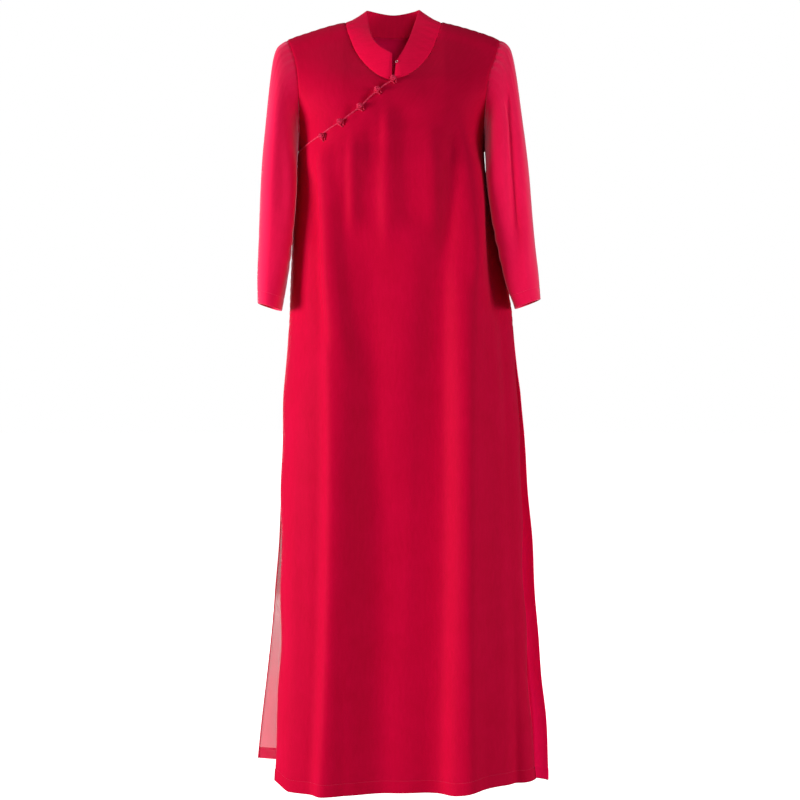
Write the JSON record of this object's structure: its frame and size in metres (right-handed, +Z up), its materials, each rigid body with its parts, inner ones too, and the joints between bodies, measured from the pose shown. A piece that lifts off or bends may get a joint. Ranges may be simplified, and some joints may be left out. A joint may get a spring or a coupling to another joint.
{
  "type": "ao dai tunic",
  "caption": "Long red crepe ao dai tunic with a stand collar, a diagonal row of ball-knot buttons, three-quarter sleeves, side slits and a sheer back panel.",
  "frame": {"origin": "midway between the two side neck points, where the collar meets the shoulder seams", "axes": "+Z up along the garment's length, -Y towards its front, +X towards the wearer's left"},
  "size_m": [0.5272, 0.2612, 1.3673],
  "materials": {
    "crepe": "matte",
    "sheer_crepe": "matte",
    "collar_crepe": "matte",
    "knot_cloth": "satin",
    "hook_wire": "polished"
  },
  "bodies": {
    "root": {"front_panel": "crepe", "shoulder_yoke": "crepe", "back_panel": "sheer_crepe", "sleeve_left": "crepe", "sleeve_right": "crepe", "collar": "collar_crepe", "knot_button_1": "knot_cloth", "knot_button_2": "knot_cloth", "knot_button_3": "knot_cloth", "knot_button_4": "knot_cloth", "knot_button_5": "knot_cloth", "button_loop_1": "knot_cloth", "button_loop_2": "knot_cloth", "button_loop_3": "knot_cloth", "button_loop_4": "knot_cloth", "button_loop_5": "knot_cloth", "collar_hook": "hook_wire"}
  },
  "joints": []
}
